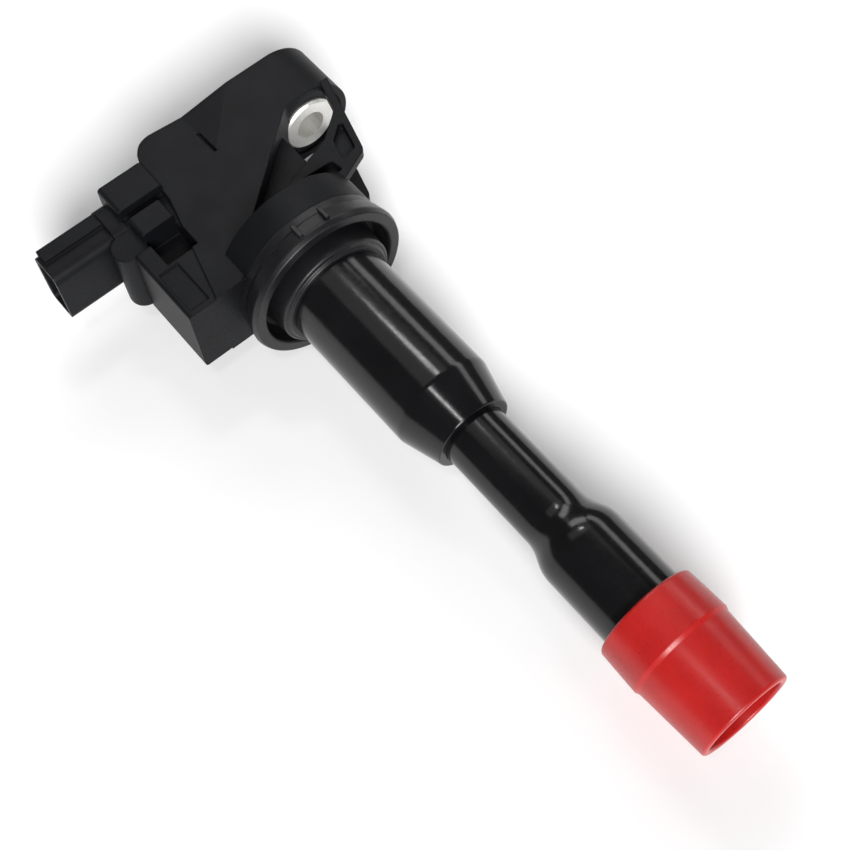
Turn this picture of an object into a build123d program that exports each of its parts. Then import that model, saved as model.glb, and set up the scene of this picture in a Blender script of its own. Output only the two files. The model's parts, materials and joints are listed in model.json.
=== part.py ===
from build123d import *
import os

# Coil-on-plug ignition coil, in millimetres. The stem's axis is X and points out of the red boot.
# The origin is the centre of the plug bore's mouth, inside the boot. The head is towards -X, the
# connector points to -Y, the bolt ear to +Y, and the head's flat side faces up, as the coil lies
# on a bench. Everything is symmetric about Z = 0 apart from the seal's notch and the driver.

# ------------------------------------------------------------------ driving sizes
gap = 0.05                     # clearance between pieces that only locate each other
wire_gap = 0.1                 # clearance at the spring's two ends

# Boot
boot_mouth_depth = 14.0        # plug bore's mouth to the boot's rim
boot_mouth_radius = 10.4
boot_mouth_wall = 1.6
boot_cavity_radius = 8.3       # the mouth cavity at its inner end
boot_waist_radius = 11.2       # just after the inward step
boot_step_radius = 11.6        # just before the inward step
boot_step_depth = 1.8          # the step's distance behind the plug bore's mouth
boot_collar_radius = 11.2      # at the collar's rim over the barrel
boot_cover_length = 12.3       # how far the collar covers the barrel, from the bore's mouth
plug_bore_radius = 5.0
plug_bore_length = 13.0
plug_relief_radius = 5.6       # room for the plug's terminal and the spring
boot_sleeve_length = 24.0      # the inner sleeve, from the bore's mouth

# Stem: barrel, shoulder and narrow tube are one moulding
barrel_radius = 9.3
barrel_wall = 2.4
barrel_end_gap = 1.2           # the barrel's end to the plug bore's mouth
barrel_length = 29.4
shoulder_length = 5.0
shoulder_round = 9.0
narrow_radius = 7.1
narrow_bore_radius = 4.3
narrow_length = 25.5
stem_socket_depth = 9.0        # how far the narrow tube goes into the cone

# Upper tube and cone
tube_radius = 11.5
tube_wall = 1.2
spigot_step = 0.3              # the tube is slimmer in the neck and the seal, up to a shoulder
cone_length = 9.5
cone_end_radius = 8.9
cone_round = 3.0
tube_length = 43.6             # head's flange face to the start of the cone
tube_socket_depth = 6.0        # how far the tube goes into the neck
case_stop = 1.2                # shoulder that the narrow tube butts against

# Head
seat_height = 29.3             # flange face to the bolt seat
ear_height = 14.0
ear_radius = 10.3              # also half the head's width
bolt_offset = 22.3             # bolt axis to the stem's axis
core_half_width = 5.5
head_side = 15.0               # the head's side towards the connector
head_flare = 22.6              # the same side at the flange face
head_flare_start = 26.4        # flange face to where the flare begins
head_corner = 6.5
cheek_foot = 11.0              # the diagonal cheek's lower corner, from the stem's axis
cheek_foot_height = 6.4        # and from the flange face
neck_inset = 1.0               # the neck's radius inside the seal's
neck_length = 7.3
box_side = 29.4                # lower box, towards the connector
box_length = 19.6
box_half_width = 9.8
box_corner = 0.8
pad_depth = 0.5
gusset_inner = 7.2             # from Z = 0, clear of the boss that the bushing sits on
gusset_thickness = 2.2
gusset_web = 0.6               # left at the bottom of each gusset's two pockets
gusset_reach = 6.9             # bolt axis to the strut's outer edge at the ear
gusset_strut = 2.0             # the strut's width at the ear
facet_depth = 1.6
facet_length = 13.5            # the V-shaped facets' reach from the back face
facet_half_span = 12.5
facet_centre = -1.0
slit_width = 0.7
slit_depth = 1.4
slit_length = 7.0
bore_ring_depth = 0.5          # shallow step round the bushing's end
bore_ring_width = 2.1

# Bushing and bolt
bolt_bore_radius = 3.5
bushing_radius = 6.6
bushing_proud = 0.4
bushing_rim = 0.5

# Seal
seal_collar_wall = 2.5
seal_groove_width = 2.2
seal_lip_wall = 3.0
seal_length = 6.6              # flange face to the skirt's lip
seal_groove_floor = 1.8        # flange face to the groove's floor
seal_collar_length = 9.2
seal_notch_width = 5.8
seal_notch_depth = 0.8
seal_notch_angle = 0.0         # from +Z towards +Y
seal_rib_width = 0.9
seal_rib_height = 0.3
seal_lip_land = 1.6            # plain rim beyond the notch
seal_step = 0.6
seal_inner_lip = 0.7           # the innermost lip's length and width
seal_lip_width = 0.9

# Connector
shroud_mouth = 44.8            # connector's mouth to the stem's axis
shroud_root = 26.0
shroud_height = 8.6            # along X
shroud_width = 15.8            # along Z
shroud_wall = 1.15
shroud_corner = 2.2
shroud_centre = 31.2           # flange face to the connector's centre plane
socket_depth = 16.0
rail_height = 0.9
rail_width = 3.4
root_plate_thickness = 3.6
root_plate_margin = 1.3
flange_block_side = 26.3
flange_block_height = 7.8
flange_block_half = 11.6
flange_block_back = 6.2        # the block's start behind the connector's centre plane
lug_side = 25.5
lug_height = 5.4
lug_half = 11.2
lug_slot = 2.4
block_half = 8.6
base_reach = 6.4               # the base's step beyond the shroud's root
base_round = 3.5
recess_to_flange = 13.4        # side hollow's end to the flange face
recess_half_web = 4.6          # half width left between the two hollows
recess_margin = 1.0            # wall towards the connector
recess_head_wall = 2.6         # wall towards the head

# Terminals
terminal_pitch = 4.0
terminal_width = 2.2
terminal_thickness = 0.64
terminal_tip = 5.5             # the blades' tips, behind the connector's mouth
terminal_inner = 9.0           # where the blades end, from the stem's axis
terminal_chamfer = 0.2

# Driver and resin in the head
pocket_wall = 2.2
pocket_floor = 1.2             # pocket's wide part to the bolt seat's level
pocket_waist = 3.6             # half width of the pocket's narrow part
pocket_side = 12.0             # the pocket's far side, towards the ear
resin_recess = 1.0
module_length = 14.0           # along Y
module_width = 8.6             # along X
module_thickness = 3.4
spreader_thickness = 1.4
module_from_back = 3.0
module_to_terminals = 1.0

# Windings, from the tube's wall inwards
sleeve_clearance = 0.25
sleeve_thickness = 0.7
sleeve_slit = 1.0
winding_space = 0.15
primary_depth = 1.3
bobbin_wall = 0.7
bobbin_flange = 0.8
secondary_depth = 1.65
secondary_chambers = 6
magnet_length = 3.0
cushion_length = 1.5
winding_start = 1.0            # the upper tube's top to the windings
winding_setback = 5.0          # the windings' end to the start of the cone
tube_resin_length = 3.0

# High-voltage path
hv_cup_inset = 0.7             # the cup's radius inside the narrow bore's
hv_cup_length = 11.0
hv_cup_wall = 0.8
hv_cup_recess = 3.0
resistor_length = 14.0
resistor_chamfer = 0.4
spring_wire = 0.9
spring_radius = 2.7            # of the wire's centre line
spring_turns = 8
spring_end_rings = 3
spring_tip = 13.8              # the spring's free end, behind the plug bore's mouth

# ------------------------------------------------------------------ stations along X
x_rim = boot_mouth_depth
x_barrel_end = -barrel_end_gap
x_shoulder = x_barrel_end - barrel_length
x_narrow = x_shoulder - shoulder_length
x_cone_tip = x_narrow - narrow_length
x_cone = x_cone_tip - cone_length
x_flange = x_cone - tube_length
x_seat = x_flange - seat_height
x_back = x_seat - ear_height
x_neck = x_flange - neck_length
x_tube_top = x_flange - tube_socket_depth
x_seal_end = x_flange + seal_collar_length + seal_inner_lip
x_stem_top = x_cone_tip - stem_socket_depth
x_shroud = x_flange - shroud_centre
x_block = x_shroud - flange_block_back
x_lug = x_block + flange_block_height + lug_slot
x_lug_end = x_lug + lug_height
x_windings = x_tube_top + winding_start
x_windings_end = x_cone - winding_setback
x_cup_end = x_windings_end + gap + hv_cup_length
x_spring = x_cup_end + resistor_length + wire_gap
x_spring_tip = -spring_tip

# ------------------------------------------------------------------ radii and widths that follow
head_half_width = ear_radius
spigot_radius = tube_radius - spigot_step
tube_inner = tube_radius - tube_wall
seal_groove_radius = tube_radius + seal_collar_wall
seal_lip_inner = seal_groove_radius + seal_groove_width
seal_radius = seal_lip_inner + seal_lip_wall
neck_radius = seal_radius - neck_inset
hv_cup_radius = narrow_bore_radius - hv_cup_inset
sleeve_outer = tube_inner - sleeve_clearance
sleeve_inner = sleeve_outer - sleeve_thickness
primary_outer = sleeve_inner - winding_space
primary_bobbin_outer = primary_outer - primary_depth
primary_bobbin_inner = primary_bobbin_outer - bobbin_wall
secondary_outer = primary_bobbin_inner - winding_space
secondary_bobbin_outer = secondary_outer - secondary_depth
secondary_bobbin_inner = secondary_bobbin_outer - bobbin_wall
core_radius = secondary_bobbin_inner - gap
barrel_inner = barrel_radius - barrel_wall
resistor_radius = narrow_bore_radius - gap


# ------------------------------------------------------------------ small helpers
def outline(points):
    """Closed face in XY from points given as x, y and corner radius."""
    path = FilletPolyline(*[(x, y) for x, y, _ in points], radius=[r for _, _, r in points], close=True)
    return make_face(path)


def turned(points):
    """Solid of revolution about X, from the x, radius and corner radius of its profile."""
    return revolve(outline(points), Axis.X)


def slab(points, z_low, z_high):
    return extrude(Pos(0, 0, z_low) * outline(points), z_high - z_low, dir=(0, 0, 1))


def disc(x_low, x_high, radius, y=0.0, z=0.0):
    return extrude(Plane.YZ.offset(x_low) * Pos(y, z) * Circle(radius), x_high - x_low, dir=(1, 0, 0))


def ring(x_low, x_high, outer, inner):
    return disc(x_low, x_high, outer) - disc(x_low - 1, x_high + 1, inner)


def block(x_low, x_high, y_low, y_high, z_low, z_high):
    size = (x_high - x_low, y_high - y_low, z_high - z_low)
    return Pos(x_low, y_low, z_low) * Box(*size, align=(Align.MIN, Align.MIN, Align.MIN))


def both_sides(solid):
    return solid + mirror(solid, about=Plane.XY)


def edges_along(solid, axis, low, high):
    """Edges parallel to an axis whose middle lies in a box."""
    found = []
    for edge in solid.edges().filter_by(axis):
        middle = edge @ 0.5
        if all(a <= m <= b for a, m, b in zip(low, middle, high)):
            found.append(edge)
    return found


# ------------------------------------------------------------------ head
def head_body():
    cheek = [
        (x_back, -head_side, head_corner),
        (x_back, bolt_offset, 0),
        (x_seat, bolt_offset, 0),
        (x_seat, bolt_offset - ear_radius + 5.0, 1.5),
        (x_flange - cheek_foot_height, -cheek_foot, 1.0),
        (x_flange, -cheek_foot - 5.0, 0),
        (x_flange, -head_flare, 0),
        (x_flange - head_flare_start, -head_side - 0.6, 8.0),
    ]
    core = [
        (x_seat - 1, -cheek_foot, 0),
        (x_seat - 1, bolt_offset - ear_radius + 1.5, 0),
        (x_neck + 1, bolt_offset - ear_radius + 1.5, 0),
        (x_neck + 1, -cheek_foot, 0),
    ]
    body = slab(cheek, -head_half_width, head_half_width)
    body += slab(core, -core_half_width, core_half_width)
    body += disc(x_back, x_seat, ear_radius, bolt_offset)
    return body


def lower_box():
    box = block(x_flange - box_length, x_flange, -box_side, -cheek_foot, -box_half_width, box_half_width)
    return fillet(edges_along(box, Axis.X, (-999, -box_side - 1, -99), (999, -box_side + 1, 99)), box_corner)


def gusset_plates():
    """Thin plates from the ear's outer end down to the neck, one on each side of the bolt."""
    outer = bolt_offset + gusset_reach
    plate = [
        (x_seat - 1, outer, 0),
        (x_neck - 2.4, outer - 6.0, 2.0),
        (x_neck + 1, neck_radius - 3.0, 0),
        (x_neck + 1, 6.0, 0),
        (x_neck - 6.0, 6.0, 1.0),
        (x_seat + 12.0, bolt_offset - 4.0, 3.0),
        (x_seat + 7.0, outer - 4.2, 2.0),
        (x_seat - 1, outer - gusset_strut, 0),
    ]
    pocket = [
        (x_seat + 9.8, outer - 4.8, 0.6),
        (x_neck - 4.2, outer - 7.0, 0.6),
        (x_neck - 3.2, bolt_offset - 4.0, 0.6),
        (x_seat + 13.5, bolt_offset - 2.6, 0.6),
    ]
    low_pocket = [
        (x_neck - 5.0, 8.4, 0.5),
        (x_neck - 1.4, 8.0, 0.5),
        (x_neck - 1.4, bolt_offset - 5.6, 0.5),
        (x_neck - 4.6, bolt_offset - 6.2, 0.5),
    ]
    top = gusset_inner + gusset_thickness
    plates = slab(plate, gusset_inner, top)
    for hollow in (pocket, low_pocket):
        plates -= slab(hollow, gusset_inner + gusset_web, top + 1)
    return both_sides(plates)


def side_facets():
    """Two sloping facets that meet in a valley, cut into each flat side at the back face."""
    reach = (facet_length + 1) / facet_length
    span = facet_half_span * reach
    depth = facet_depth * reach
    rhombus = Polyline((-span, 0), (0, -depth), (span, 0), (0, depth), close=True)
    base = Plane.YZ.offset(x_back - 1) * Pos(facet_centre, head_half_width) * make_face(rhombus)
    tip = Vertex(x_back + facet_length, facet_centre, head_half_width)
    pyramid = loft([base.face(), tip], ruled=True)
    slit = block(
        x_back + facet_length - slit_length, x_back + facet_length,
        facet_centre - slit_width / 2, facet_centre + slit_width / 2,
        head_half_width - slit_depth, head_half_width + 1,
    )
    return both_sides(pyramid + slit)


def resin_pocket(x_start):
    """The space that the resin fills, from a station near the back face to the upper tube."""
    wide = block(
        x_start, x_seat - pocket_floor, -head_side + pocket_wall, pocket_side,
        -head_half_width + pocket_wall, head_half_width - pocket_wall,
    )
    narrow = block(
        x_start, x_tube_top, -head_side + pocket_wall, pocket_side,
        -pocket_waist, pocket_waist,
    )
    return wide + narrow


def connector_tongue(margin):
    half_x = shroud_height / 2 - 1.4 + margin
    half_z = shroud_width / 2 - 1.4 + margin
    return block(
        x_shroud - half_x, x_shroud + half_x, -head_side - 1, -head_side + pocket_wall,
        -half_z, half_z,
    )


def side_recess():
    """Deep hollow between the connector's lug and the lower box, on each side."""
    hollow = block(
        x_lug_end, x_flange - recess_to_flange,
        -flange_block_side + recess_margin, -head_side - recess_head_wall,
        recess_half_web, lug_half + 1,
    )
    return both_sides(hollow)


def box_pads():
    pad = block(
        x_flange - 12.6, x_flange - 1.4, -box_side + 1.2, -head_flare - 0.9,
        box_half_width - pad_depth, box_half_width + 1,
    )
    return both_sides(pad)


def head_outside():
    body = head_body() + lower_box() + gusset_plates() + disc(x_neck, x_flange, neck_radius)
    body = body - side_facets() - side_recess() - box_pads()
    return body


def head_housing():
    body = head_outside()
    body -= resin_pocket(x_back - 1)
    body -= connector_tongue(gap)
    body -= disc(x_tube_top, x_flange + 1, spigot_radius)
    body -= disc(x_back - 1, x_seat + 1, bushing_radius, bolt_offset)
    body -= disc(x_seat - bore_ring_depth, x_seat, bushing_radius + bore_ring_width, bolt_offset)
    return body


def mounting_bushing():
    sleeve = disc(x_back - bushing_proud, x_seat + bushing_proud, bushing_radius, bolt_offset)
    sleeve -= disc(x_back - 2, x_seat + 2, bolt_bore_radius, bolt_offset)
    outer_rims = [e for e in sleeve.edges().filter_by(GeomType.CIRCLE) if abs(e.radius - bushing_radius) < 0.01]
    return chamfer(outer_rims, bushing_rim)


# ------------------------------------------------------------------ connector and driver
def shroud_section(margin, corner):
    size = (shroud_height + 2 * margin, shroud_width + 2 * margin)
    return RectangleRounded(*size, corner)


def along_y(section, y_low, y_high):
    plane = Plane(origin=(x_shroud, y_low, 0), x_dir=(1, 0, 0), z_dir=(0, 1, 0))
    return extrude(plane * section, y_high - y_low, dir=(0, 1, 0))


def connector_body():
    body = along_y(shroud_section(0, shroud_corner), -shroud_mouth, -shroud_root)
    body += along_y(
        shroud_section(root_plate_margin, shroud_corner + root_plate_margin),
        -shroud_root - root_plate_thickness, -shroud_root,
    )
    rail_x = x_shroud - shroud_height / 2 + 0.4
    rail = block(
        rail_x, rail_x + rail_width, -shroud_mouth + 0.8, -shroud_root,
        0, shroud_width / 2 + rail_height,
    )
    body += both_sides(rail)
    middle = block(
        x_shroud - 5.2, x_flange - box_length, -shroud_root, -head_side, -block_half, block_half,
    )
    base = block(
        x_shroud + shroud_height / 2, x_flange - box_length, -shroud_root - base_reach, -head_side,
        -block_half, block_half,
    )
    base = fillet(edges_along(base, Axis.Z, (-999, -shroud_root - base_reach - 1, -99),
                              (999, -shroud_root - base_reach + 1, 99)), base_round)
    body += middle + base
    upper = block(
        x_block, x_block + flange_block_height, -flange_block_side, -head_side,
        -flange_block_half, flange_block_half,
    )
    upper = fillet(upper.edges().filter_by(Axis.X), 1.0)
    lug = block(x_lug, x_lug_end, -lug_side, -head_side - 2.5, -lug_half, lug_half)
    lug = fillet(lug.edges().filter_by(Axis.X), 0.7)
    body += upper + lug
    body -= head_outside()
    body -= side_recess()
    body -= along_y(
        shroud_section(-shroud_wall, shroud_corner - shroud_wall),
        -shroud_mouth - 1, -shroud_mouth + socket_depth,
    )
    body += connector_tongue(0)
    for blade in terminal_places():
        body -= terminal(blade)
    return body


def terminal_places():
    return [-terminal_pitch, 0.0, terminal_pitch]


def terminal(z):
    blade = block(
        x_shroud - terminal_thickness / 2, x_shroud + terminal_thickness / 2,
        -shroud_mouth + terminal_tip, -terminal_inner,
        z - terminal_width / 2, z + terminal_width / 2,
    )
    tip = edges_along(blade, Axis.X, (-999, -shroud_mouth + terminal_tip - 0.1, -99),
                      (999, -shroud_mouth + terminal_tip + 0.1, 99))
    return chamfer(tip, terminal_chamfer)


def igniter_module():
    x_low = x_back + module_from_back
    return block(
        x_low, x_low + module_width, -terminal_inner + module_to_terminals,
        -terminal_inner + module_to_terminals + module_length,
        -module_thickness / 2, module_thickness / 2,
    )


def igniter_heat_spreader():
    x_low = x_back + module_from_back
    return block(
        x_low, x_low + module_width, -terminal_inner + module_to_terminals,
        -terminal_inner + module_to_terminals + module_length,
        module_thickness / 2, module_thickness / 2 + spreader_thickness,
    )


def potting_resin():
    resin = resin_pocket(x_back + resin_recess)
    resin -= igniter_module()
    resin -= igniter_heat_spreader()
    for place in terminal_places():
        resin -= terminal(place)
    return resin


# ------------------------------------------------------------------ seal
def seal_arc_block(width_low, width_high, radius_low, radius_high):
    """Block across the skirt, turned to the notch's place round the stem."""
    bar = block(
        x_flange + seal_groove_floor, x_flange + seal_length - seal_lip_land,
        radius_low, radius_high, width_low, width_high,
    )
    return Rot(X=90 - seal_notch_angle) * bar


def well_seal():
    x_lip = x_flange + seal_length
    x_floor = x_flange + seal_groove_floor
    x_collar = x_flange + seal_collar_length
    body = turned([
        (x_flange, spigot_radius, 0),
        (x_flange, neck_radius, 0),
        (x_floor, neck_radius, 0),
        (x_floor + seal_step, seal_radius - seal_step, 0.3),
        (x_lip - 1.2, seal_radius, 1.0),
        (x_lip, seal_radius - 0.5, 0.3),
        (x_lip, seal_lip_inner, 0.6),
        (x_floor, seal_lip_inner - 0.8, 0.5),
        (x_floor, seal_groove_radius, 0.5),
        (x_collar, seal_groove_radius - 0.4, 0.6),
        (x_collar, seal_groove_radius - 1.3, 0.3),
        (x_seal_end, tube_radius + seal_lip_width, 0.3),
        (x_seal_end, spigot_radius, 0),
    ])
    half = seal_notch_width / 2
    body -= seal_arc_block(-half, half, seal_radius - seal_notch_depth, seal_radius + 2)
    for end in (-1, 1):
        centre = end * (half + seal_rib_width / 2)
        body += seal_arc_block(
            centre - seal_rib_width / 2, centre + seal_rib_width / 2,
            seal_radius - seal_notch_depth, seal_radius + seal_rib_height,
        )
    return body


# ------------------------------------------------------------------ stem
def coil_case():
    x_stop = x_stem_top - case_stop
    return turned([
        (x_tube_top, tube_inner, 0),
        (x_tube_top, spigot_radius, 0),
        (x_seal_end, spigot_radius, 0),
        (x_seal_end, tube_radius, 0),
        (x_cone, tube_radius, cone_round),
        (x_cone_tip, cone_end_radius, 0.4),
        (x_cone_tip, narrow_radius + gap, 0),
        (x_stem_top, narrow_radius + gap, 0),
        (x_stem_top, narrow_bore_radius, 0),
        (x_stop, narrow_bore_radius, 0),
        (x_stop, tube_inner, 0),
    ])


def stem_tube():
    return turned([
        (x_stem_top, narrow_bore_radius, 0),
        (x_stem_top, narrow_radius, 0),
        (x_narrow, narrow_radius, shoulder_round),
        (x_shoulder, barrel_radius, shoulder_round),
        (x_barrel_end, barrel_radius, 0),
        (x_barrel_end, barrel_inner, 0),
        (x_shoulder + 2.0, barrel_inner, 1.0),
        (x_narrow + 2.0, narrow_bore_radius, 1.0),
    ])


def plug_boot():
    sleeve_outer_radius = barrel_inner - gap
    x_sleeve = -boot_sleeve_length
    return turned([
        (x_sleeve, plug_relief_radius, 0),
        (x_sleeve, sleeve_outer_radius, 0.3),
        (x_barrel_end, sleeve_outer_radius, 0),
        (x_barrel_end, barrel_radius, 0),
        (-boot_cover_length, barrel_radius, 0),
        (-boot_cover_length, boot_collar_radius, 0.7),
        (-boot_step_depth - 0.9, boot_step_radius, 0.5),
        (-boot_step_depth, boot_waist_radius, 0.3),
        (x_rim, boot_mouth_radius, 0.6),
        (x_rim, boot_mouth_radius - boot_mouth_wall, 0.5),
        (0, boot_cavity_radius, 1.2),
        (0, plug_bore_radius, 0),
        (-plug_bore_length, plug_bore_radius, 0),
        (-plug_bore_length - 0.6, plug_relief_radius, 0),
    ])


# ------------------------------------------------------------------ windings and core
def core_sleeve():
    sleeve = ring(x_windings, x_windings_end, sleeve_outer, sleeve_inner)
    slit = block(
        x_windings - 1, x_windings_end + 1, -sleeve_outer - 1, -sleeve_inner + 1,
        -sleeve_slit / 2, sleeve_slit / 2,
    )
    return sleeve - slit


def primary_bobbin():
    body = ring(x_windings, x_windings_end, primary_bobbin_outer, primary_bobbin_inner)
    for x_low in (x_windings, x_windings_end - bobbin_flange):
        body += ring(x_low, x_low + bobbin_flange, primary_outer, primary_bobbin_inner)
    return body


def primary_winding():
    return ring(
        x_windings + bobbin_flange, x_windings_end - bobbin_flange, primary_outer, primary_bobbin_outer,
    )


def secondary_flange_places():
    span = x_windings_end - bobbin_flange - x_windings
    return [x_windings + span * k / secondary_chambers for k in range(secondary_chambers + 1)]


def secondary_bobbin():
    body = ring(x_windings, x_windings_end, secondary_bobbin_outer, secondary_bobbin_inner)
    for x_low in secondary_flange_places():
        body += ring(x_low, x_low + bobbin_flange, secondary_outer, secondary_bobbin_inner)
    return body + disc(x_windings_end - bobbin_flange, x_windings_end, secondary_outer)


def secondary_winding():
    places = secondary_flange_places()
    coils = [
        ring(low + bobbin_flange, high, secondary_outer, secondary_bobbin_outer)
        for low, high in zip(places, places[1:])
    ]
    return Compound(children=[coil.solid() for coil in coils])


def core_stack():
    """Cushion, head magnet, core and plug magnet, in a row inside the secondary bobbin."""
    x_end = x_windings_end - bobbin_flange
    x_1 = x_windings + cushion_length
    x_2 = x_1 + magnet_length
    x_3 = x_end - magnet_length
    return {
        "core_cushion": disc(x_windings, x_1, core_radius),
        "core_magnet_head": disc(x_1, x_2, core_radius),
        "centre_core": disc(x_2, x_3, core_radius),
        "core_magnet_plug": disc(x_3, x_end, core_radius),
    }


def tube_resin():
    x_low = x_windings_end + gap
    return ring(x_low, x_low + tube_resin_length, tube_inner, hv_cup_radius)


# ------------------------------------------------------------------ high-voltage path
def hv_terminal():
    cup = disc(x_windings_end + gap, x_cup_end, hv_cup_radius)
    return cup - disc(x_cup_end - hv_cup_recess, x_cup_end + 1, hv_cup_radius - hv_cup_wall)


def noise_resistor():
    rod = disc(x_cup_end, x_cup_end + resistor_length, resistor_radius)
    return chamfer(rod.edges().filter_by(GeomType.CIRCLE), resistor_chamfer)


def spring_ring_pitch():
    return spring_wire * 0.95


def contact_spring():
    wire = spring_wire / 2
    x_start = x_spring + wire
    x_end = x_spring_tip - spring_wire - (spring_end_rings - 1) * spring_ring_pitch() - wire - wire_gap
    height = x_end - x_start
    helix = Helix(
        pitch=height / spring_turns, height=height, radius=spring_radius,
        center=(x_start, 0, 0), direction=(1, 0, 0),
    )
    section = Plane(origin=helix @ 0, z_dir=helix % 0) * Circle(wire)
    return sweep(section, path=helix, is_frenet=True)


def spring_contact():
    wire = spring_wire / 2
    body = Part()
    for k in range(spring_end_rings):
        x_ring = x_spring_tip - wire - k * spring_ring_pitch()
        body += Pos(x_ring, 0, 0) * Rot(Y=90) * Torus(spring_radius, wire)
    return body


# ------------------------------------------------------------------ write every piece
pieces = {
    "head_housing": head_housing(),
    "mounting_bushing": mounting_bushing(),
    "connector_body": connector_body(),
    "igniter_module": igniter_module(),
    "igniter_heat_spreader": igniter_heat_spreader(),
    "potting_resin": potting_resin(),
    "well_seal": well_seal(),
    "coil_case": coil_case(),
    "stem_tube": stem_tube(),
    "plug_boot": plug_boot(),
    "core_sleeve": core_sleeve(),
    "primary_bobbin": primary_bobbin(),
    "primary_winding": primary_winding(),
    "secondary_bobbin": secondary_bobbin(),
    "secondary_winding": secondary_winding(),
    "tube_resin": tube_resin(),
    "hv_terminal": hv_terminal(),
    "noise_resistor": noise_resistor(),
    "contact_spring": contact_spring(),
    "spring_contact": spring_contact(),
}
pieces.update(core_stack())
for node, place in zip(("terminal_supply", "terminal_ground", "terminal_trigger"), terminal_places()):
    pieces[node] = terminal(place)

os.makedirs("parts", exist_ok=True)
for node, solid in pieces.items():
    export_step(solid, os.path.join("parts", node + ".step"))
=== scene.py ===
import bpy
import json
import math
from mathutils import Matrix, Vector


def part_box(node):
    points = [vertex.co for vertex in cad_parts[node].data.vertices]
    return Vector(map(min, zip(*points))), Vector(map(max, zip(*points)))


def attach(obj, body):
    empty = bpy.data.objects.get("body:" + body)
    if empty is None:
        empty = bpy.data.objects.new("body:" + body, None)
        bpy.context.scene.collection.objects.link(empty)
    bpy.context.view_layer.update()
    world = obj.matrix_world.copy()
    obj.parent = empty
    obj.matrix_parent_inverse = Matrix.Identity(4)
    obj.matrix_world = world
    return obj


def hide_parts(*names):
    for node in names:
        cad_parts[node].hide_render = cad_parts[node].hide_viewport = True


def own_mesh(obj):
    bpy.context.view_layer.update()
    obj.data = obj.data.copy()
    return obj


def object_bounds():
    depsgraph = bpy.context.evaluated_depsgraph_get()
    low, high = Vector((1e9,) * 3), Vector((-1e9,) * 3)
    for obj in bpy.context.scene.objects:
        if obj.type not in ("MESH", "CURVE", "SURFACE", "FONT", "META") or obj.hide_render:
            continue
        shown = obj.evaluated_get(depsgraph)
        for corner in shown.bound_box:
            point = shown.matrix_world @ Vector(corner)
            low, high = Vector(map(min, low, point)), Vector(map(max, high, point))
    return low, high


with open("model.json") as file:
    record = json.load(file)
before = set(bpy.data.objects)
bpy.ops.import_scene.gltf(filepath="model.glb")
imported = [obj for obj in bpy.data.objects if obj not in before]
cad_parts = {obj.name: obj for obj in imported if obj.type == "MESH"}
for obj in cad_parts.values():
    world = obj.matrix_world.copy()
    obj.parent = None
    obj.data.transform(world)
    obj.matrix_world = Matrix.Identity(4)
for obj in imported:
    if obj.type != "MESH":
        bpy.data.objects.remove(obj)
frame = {"nodes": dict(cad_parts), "record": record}

cad_low, cad_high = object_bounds()

MM = 0.001
nodes = frame["nodes"]


# ------------------------------------------------------------------ node helpers
NOISE_LOW, NOISE_HIGH = 0.3, 0.7        # most of a noise texture's values lie between these
RAMP_START, RAMP_END = 0.35, 0.68       # noise values where a colour ramp starts and ends
BEVEL_SAMPLES = 6


def new_material(name):
    """Material with a Principled shader; returns the material, its nodes, links and shader."""
    material = bpy.data.materials.new(name)
    material.use_nodes = True
    tree = material.node_tree
    return material, tree.nodes, tree.links, tree.nodes["Principled BSDF"]


def object_coordinates(tree_nodes, links, stretch=(1, 1, 1)):
    """Mapped object coordinates in millimetres, so every texture scale below is per millimetre."""
    source = tree_nodes.new("ShaderNodeTexCoord")
    mapping = tree_nodes.new("ShaderNodeMapping")
    mapping.inputs["Scale"].default_value = [s / MM for s in stretch]
    links.new(source.outputs["Object"], mapping.inputs["Vector"])
    return mapping.outputs["Vector"]


def noise(tree_nodes, links, vector, per_mm, detail=3.0, roughness=0.55):
    """Value of a noise texture whose largest bumps number about per_mm in a millimetre."""
    texture = tree_nodes.new("ShaderNodeTexNoise")
    texture.inputs["Scale"].default_value = per_mm
    texture.inputs["Detail"].default_value = detail
    texture.inputs["Roughness"].default_value = roughness
    links.new(vector, texture.inputs["Vector"])
    return texture.outputs["Fac"]


def spread(tree_nodes, links, value, low, high):
    """Maps the middle of a noise value's range onto low to high."""
    remap = tree_nodes.new("ShaderNodeMapRange")
    remap.inputs["From Min"].default_value = NOISE_LOW
    remap.inputs["From Max"].default_value = NOISE_HIGH
    remap.inputs["To Min"].default_value = low
    remap.inputs["To Max"].default_value = high
    links.new(value, remap.inputs["Value"])
    return remap.outputs["Result"]


def colour_between(tree_nodes, links, value, first, second):
    """Colour that changes from the first to the second as the noise value rises."""
    ramp = tree_nodes.new("ShaderNodeValToRGB")
    ramp.color_ramp.elements[0].position = RAMP_START
    ramp.color_ramp.elements[0].color = (*first, 1)
    ramp.color_ramp.elements[1].position = RAMP_END
    ramp.color_ramp.elements[1].color = (*second, 1)
    links.new(value, ramp.inputs["Fac"])
    return ramp.outputs["Color"]


def relief(tree_nodes, links, layers, edge_radius):
    """Bump from (height, strength, depth in mm) layers, on edges softened by a radius in mm."""
    bevel = tree_nodes.new("ShaderNodeBevel")
    bevel.samples = BEVEL_SAMPLES
    bevel.inputs["Radius"].default_value = edge_radius * MM
    normal = bevel.outputs["Normal"]
    for height, strength, depth in layers:
        bump = tree_nodes.new("ShaderNodeBump")
        bump.inputs["Strength"].default_value = strength
        bump.inputs["Distance"].default_value = depth * MM
        links.new(height, bump.inputs["Height"])
        links.new(normal, bump.inputs["Normal"])
        normal = bump.outputs["Normal"]
    return normal


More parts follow.
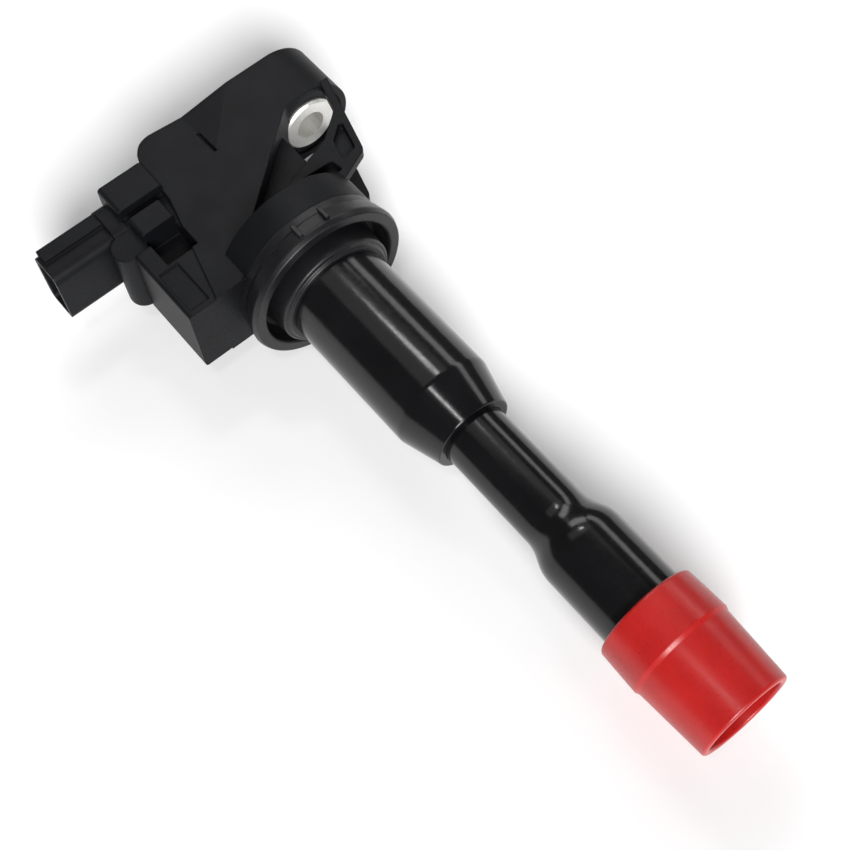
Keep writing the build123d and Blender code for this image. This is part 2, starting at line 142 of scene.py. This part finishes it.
# ------------------------------------------------------------------ materials
DRIFT_PER_MM = 0.11                     # slow change of colour over a moulding
WAVES_PER_MM = 0.35                     # unevenness of a moulded surface
WAVE_STRENGTH, WAVE_DEPTH = 0.25, 0.05
GRAIN_STRENGTH = 0.45

METAL_GRAIN_STRENGTH = 0.3
METAL_EDGE = 0.12                       # mm

BOOT_DARK, BOOT_LIGHT = (0.40, 0.010, 0.009), (0.48, 0.014, 0.012)
BOOT_STRETCH = (0.5, 1, 1)              # flow marks are twice as long along the boot as across it
BOOT_FLOW_PER_MM, BOOT_FLOW_STRENGTH, BOOT_FLOW_DEPTH = 0.16, 0.2, 0.08
BOOT_DUST_PER_MM, BOOT_DUST_STRENGTH, BOOT_DUST_DEPTH = 2.2, 0.15, 0.01
BOOT_ROUGHNESS = (0.26, 0.40)
BOOT_EDGE = 0.25                        # mm


def moulded(name, dark, light, rough, grain, grain_depth, edge, specular=0.5):
    """Moulded or cast surface: fine grain, slow colour drift and uneven gloss."""
    material, tree_nodes, links, shader = new_material(name)
    vector = object_coordinates(tree_nodes, links)
    fine = noise(tree_nodes, links, vector, grain, detail=4.0, roughness=0.6)
    slow = noise(tree_nodes, links, vector, DRIFT_PER_MM, detail=2.0)
    wavy = noise(tree_nodes, links, vector, WAVES_PER_MM, detail=1.0)
    shader.inputs["Specular IOR Level"].default_value = specular
    links.new(colour_between(tree_nodes, links, slow, dark, light), shader.inputs["Base Color"])
    links.new(spread(tree_nodes, links, fine, *rough), shader.inputs["Roughness"])
    layers = [(wavy, WAVE_STRENGTH, WAVE_DEPTH), (fine, GRAIN_STRENGTH, grain_depth)]
    links.new(relief(tree_nodes, links, layers, edge), shader.inputs["Normal"])
    return material


def silicone_red():
    """Red silicone: slightly translucent, smooth, with faint dust and flow marks."""
    material, tree_nodes, links, shader = new_material("boot_silicone_red")
    vector = object_coordinates(tree_nodes, links, BOOT_STRETCH)
    flow = noise(tree_nodes, links, vector, BOOT_FLOW_PER_MM)
    dust = noise(tree_nodes, links, vector, BOOT_DUST_PER_MM)
    shader.inputs["Subsurface Weight"].default_value = 0.12
    shader.inputs["Subsurface Radius"].default_value = (0.004, 0.0008, 0.0006)
    shader.inputs["Subsurface Scale"].default_value = 0.6
    shader.inputs["Specular IOR Level"].default_value = 0.45
    links.new(colour_between(tree_nodes, links, flow, BOOT_DARK, BOOT_LIGHT), shader.inputs["Base Color"])
    links.new(spread(tree_nodes, links, dust, *BOOT_ROUGHNESS), shader.inputs["Roughness"])
    layers = [(flow, BOOT_FLOW_STRENGTH, BOOT_FLOW_DEPTH), (dust, BOOT_DUST_STRENGTH, BOOT_DUST_DEPTH)]
    links.new(relief(tree_nodes, links, layers, BOOT_EDGE), shader.inputs["Normal"])
    return material


def metal(name, dark, light, rough, stretch, lines_per_mm, depth):
    """Bare metal with a drawn or turned grain: a small stretch value makes long lines on that axis."""
    material, tree_nodes, links, shader = new_material(name)
    vector = object_coordinates(tree_nodes, links, stretch)
    lines = noise(tree_nodes, links, vector, lines_per_mm)
    shader.inputs["Metallic"].default_value = 1.0
    links.new(colour_between(tree_nodes, links, lines, dark, light), shader.inputs["Base Color"])
    links.new(spread(tree_nodes, links, lines, *rough), shader.inputs["Roughness"])
    layers = [(lines, METAL_GRAIN_STRENGTH, depth)]
    links.new(relief(tree_nodes, links, layers, METAL_EDGE), shader.inputs["Normal"])
    return material


materials = {
    "head_plastic": moulded(
        "head_plastic_black", dark=(0.0030, 0.0032, 0.0042), light=(0.0056, 0.0059, 0.0074),
        rough=(0.42, 0.58), grain=3.2, grain_depth=0.035, edge=0.45, specular=0.17),
    "tube_plastic": moulded(
        "tube_plastic_gloss", dark=(0.0030, 0.0030, 0.0036), light=(0.0048, 0.0048, 0.0056),
        rough=(0.12, 0.20), grain=1.2, grain_depth=0.006, edge=0.3, specular=0.45),
    "seal_rubber": moulded(
        "seal_rubber_black", dark=(0.0050, 0.0050, 0.0060), light=(0.0085, 0.0085, 0.0098),
        rough=(0.32, 0.46), grain=2.0, grain_depth=0.015, edge=0.3, specular=0.38),
    "resin": moulded(
        "resin_black", dark=(0.010, 0.009, 0.008), light=(0.018, 0.016, 0.014),
        rough=(0.20, 0.36), grain=0.5, grain_depth=0.05, edge=0.2),
    "bobbin_plastic": moulded(
        "bobbin_natural", dark=(0.50, 0.46, 0.36), light=(0.60, 0.56, 0.45),
        rough=(0.4, 0.55), grain=2.0, grain_depth=0.02, edge=0.2),
    "magnet": moulded(
        "magnet_grey", dark=(0.15, 0.15, 0.16), light=(0.22, 0.22, 0.23),
        rough=(0.4, 0.6), grain=2.0, grain_depth=0.02, edge=0.2),
    "resistor_ceramic": moulded(
        "resistor_ceramic", dark=(0.70, 0.66, 0.58), light=(0.80, 0.77, 0.70),
        rough=(0.4, 0.5), grain=2.0, grain_depth=0.01, edge=0.2),
    "boot_silicone": silicone_red(),
    "bushing_steel": metal(
        "bushing_steel_pale", dark=(0.84, 0.83, 0.80), light=(0.97, 0.96, 0.93),
        rough=(0.46, 0.62), stretch=(0.15, 1, 1), lines_per_mm=2.5, depth=0.02),
    "terminal_brass": metal(
        "terminal_tinned", dark=(0.62, 0.58, 0.48), light=(0.78, 0.74, 0.64),
        rough=(0.22, 0.36), stretch=(1, 0.15, 1), lines_per_mm=4.0, depth=0.01),
    "copper_wire": metal(
        "copper_wire_enamel", dark=(0.55, 0.20, 0.07), light=(0.72, 0.30, 0.12),
        rough=(0.25, 0.40), stretch=(1, 0.02, 0.02), lines_per_mm=6.0, depth=0.06),
    "core_steel": metal(
        "core_steel_dark", dark=(0.24, 0.24, 0.26), light=(0.38, 0.38, 0.40),
        rough=(0.35, 0.50), stretch=(0.05, 1, 1), lines_per_mm=4.0, depth=0.04),
    "heat_aluminium": metal(
        "heat_aluminium", dark=(0.70, 0.70, 0.71), light=(0.84, 0.84, 0.85),
        rough=(0.30, 0.42), stretch=(1, 0.1, 1), lines_per_mm=4.0, depth=0.01),
    "spring_steel": metal(
        "spring_steel_wire", dark=(0.50, 0.50, 0.51), light=(0.68, 0.68, 0.69),
        rough=(0.20, 0.32), stretch=(0.3, 1, 1), lines_per_mm=3.0, depth=0.01),
}

for part in frame["record"]["subparts"]:
    mesh = nodes[part["node"]].data
    mesh.materials.clear()
    mesh.materials.append(materials[part["material_slot"]])


# ------------------------------------------------------------------ contact spring
WIRE = 0.9 * MM
WIRE_ROUNDNESS = 5                      # Blender's bevel resolution for the round section
SPRING_TURNS = 8
SPRING_STEPS = 40                       # points along each turn


def spring_wire(low, high):
    """Mesh of the spring's open coils, a swept wire that fills the given box along X."""
    start, end = low[0] + WIRE / 2, high[0] - WIRE / 2
    radius = (high[1] - low[1]) / 2 - WIRE / 2
    curve = bpy.data.curves.new("spring_coils", "CURVE")
    curve.dimensions = "3D"
    curve.bevel_depth = WIRE / 2
    curve.bevel_resolution = WIRE_ROUNDNESS
    curve.use_fill_caps = True
    steps = SPRING_TURNS * SPRING_STEPS
    spline = curve.splines.new("POLY")
    spline.points.add(steps)
    for k, point in enumerate(spline.points):
        share = k / steps
        angle = 2 * math.pi * SPRING_TURNS * share
        point.co = (start + (end - start) * share, radius * math.cos(angle), radius * math.sin(angle), 1)
    holder = bpy.data.objects.new("spring_curve", curve)
    bpy.context.scene.collection.objects.link(holder)
    bpy.context.view_layer.update()
    mesh = bpy.data.meshes.new_from_object(holder.evaluated_get(bpy.context.evaluated_depsgraph_get()))
    bpy.data.objects.remove(holder)
    return mesh


def contact_spring():
    """The open coils, which the plug pushes shorter, in place of the CAD stand-in."""
    low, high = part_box("contact_spring")
    mesh = spring_wire(low, high)
    mesh.materials.clear()
    mesh.materials.append(materials["spring_steel"])
    for face in mesh.polygons:
        face.use_smooth = True
    spring = bpy.data.objects.new("spring_coils", mesh)
    bpy.context.scene.collection.objects.link(spring)
    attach(spring, "coil")
    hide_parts("contact_spring")
    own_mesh(spring)


contact_spring()


# ------------------------------------------------------------------ floor, light and camera
FLOOR_REACH = 3.0                       # metres from the origin to each side
FLOOR_DARK, FLOOR_LIGHT = (0.90, 0.90, 0.90), (0.93, 0.93, 0.93)
FLOOR_DRIFT_PER_MM = 0.01

CAMERA_AZIMUTH = math.radians(55.8)     # turned from looking along +Y, towards looking along -X
CAMERA_ELEVATION = math.radians(63.3)
CAMERA_ROLL = math.radians(6.1)
CAMERA_DISTANCE = 0.296
CAMERA_LENS = 63.0
CAMERA_SENSOR = 36.0
CAMERA_NEAREST = 0.01
AIM_SHIFT = 3 * MM                      # the camera looks this far from the centre, towards the boot

centre = (Vector(cad_low) + Vector(cad_high)) / 2
aim_point = Vector((centre.x + AIM_SHIFT, centre.y, 0))


def pale_floor():
    """Large pale floor that touches the object's lowest point."""
    mesh = bpy.data.meshes.new("floor")
    signs = [(-1, -1), (1, -1), (1, 1), (-1, 1)]
    corners = [(x * FLOOR_REACH, y * FLOOR_REACH, 0) for x, y in signs]
    mesh.from_pydata(corners, [], [(0, 1, 2, 3)])
    floor = bpy.data.objects.new("floor", mesh)
    floor.location = (0, 0, cad_low[2])
    bpy.context.scene.collection.objects.link(floor)
    material, tree_nodes, links, shader = new_material("floor_pale")
    vector = object_coordinates(tree_nodes, links)
    drift = noise(tree_nodes, links, vector, FLOOR_DRIFT_PER_MM, detail=2.0)
    links.new(colour_between(tree_nodes, links, drift, FLOOR_DARK, FLOOR_LIGHT), shader.inputs["Base Color"])
    shader.inputs["Roughness"].default_value = 0.9
    shader.inputs["Specular IOR Level"].default_value = 0.1
    mesh.materials.append(material)


def facing_centre(place):
    """Rotation that turns a light at this place, from the object's centre, towards the centre."""
    return (-Vector(place)).to_track_quat("-Z", "Y").to_euler()


def softbox(name, place, size, brightness):
    """Rectangular area light at a place from the object's centre, place and size in metres."""
    light = bpy.data.lights.new(name, "AREA")
    light.shape = "RECTANGLE"
    light.size, light.size_y = size
    light.energy = brightness * math.pi * size[0] * size[1]
    holder = bpy.data.objects.new(name, light)
    holder.location = centre + Vector(place)
    holder.rotation_euler = facing_centre(place)
    bpy.context.scene.collection.objects.link(holder)


def sun(name, place, strength, width):
    """Distant light from a direction, its width in degrees, so that the whole floor is evenly lit."""
    light = bpy.data.lights.new(name, "SUN")
    light.energy = strength
    light.angle = math.radians(width)
    holder = bpy.data.objects.new(name, light)
    holder.rotation_euler = facing_centre(place)
    bpy.context.scene.collection.objects.link(holder)


def white_surround(brightness, seen):
    """Even studio surround: dimmer for lighting than the white that the camera sees."""
    world = bpy.data.worlds.new("studio")
    world.use_nodes = True
    bpy.context.scene.world = world
    tree = world.node_tree
    background = tree.nodes["Background"]
    path = tree.nodes.new("ShaderNodeLightPath")
    remap = tree.nodes.new("ShaderNodeMapRange")
    remap.inputs["To Min"].default_value = brightness
    remap.inputs["To Max"].default_value = seen
    tree.links.new(path.outputs["Is Camera Ray"], remap.inputs["Value"])
    tree.links.new(remap.outputs["Result"], background.inputs["Strength"])
    background.inputs["Color"].default_value = (1, 1, 1, 1)


def photo_camera():
    """Camera that looks at the object from the photograph's angle."""
    data = bpy.data.cameras.new("camera")
    data.lens = CAMERA_LENS
    data.sensor_width = CAMERA_SENSOR
    data.clip_start = CAMERA_NEAREST
    camera = bpy.data.objects.new("camera", data)
    bpy.context.scene.collection.objects.link(camera)
    away = Vector((
        math.cos(CAMERA_ELEVATION) * math.sin(CAMERA_AZIMUTH),
        -math.cos(CAMERA_ELEVATION) * math.cos(CAMERA_AZIMUTH),
        math.sin(CAMERA_ELEVATION),
    ))
    camera.location = aim_point + away * CAMERA_DISTANCE
    level = (-away).to_track_quat("-Z", "Y").to_matrix()
    roll = Matrix.Rotation(-CAMERA_ROLL, 3, away)
    camera.rotation_euler = (roll @ level).to_euler()
    bpy.context.scene.camera = camera


pale_floor()
white_surround(brightness=0.11, seen=1.0)
sun("floor_light", place=(0.90, -0.40, 0.75), strength=4.0, width=24.0)
softbox("rear_light", place=(-0.60, 0.26, 0.54), size=(0.50, 0.24), brightness=3.4)
softbox("side_light", place=(-0.20, 0.62, 0.42), size=(0.6, 0.16), brightness=2.6)
softbox("overhead_light", place=(-0.28, 0.06, 0.62), size=(0.7, 0.22), brightness=0.55)
softbox("cone_light", place=(0.12, -0.17, 0.62), size=(0.12, 0.04), brightness=22.0)
softbox("tube_light", place=(-0.228, 0.115, 0.50), size=(0.09, 0.035), brightness=18.0)
photo_camera()

scene = bpy.context.scene
scene.view_settings.view_transform = "Standard"
scene.view_settings.look = "None"
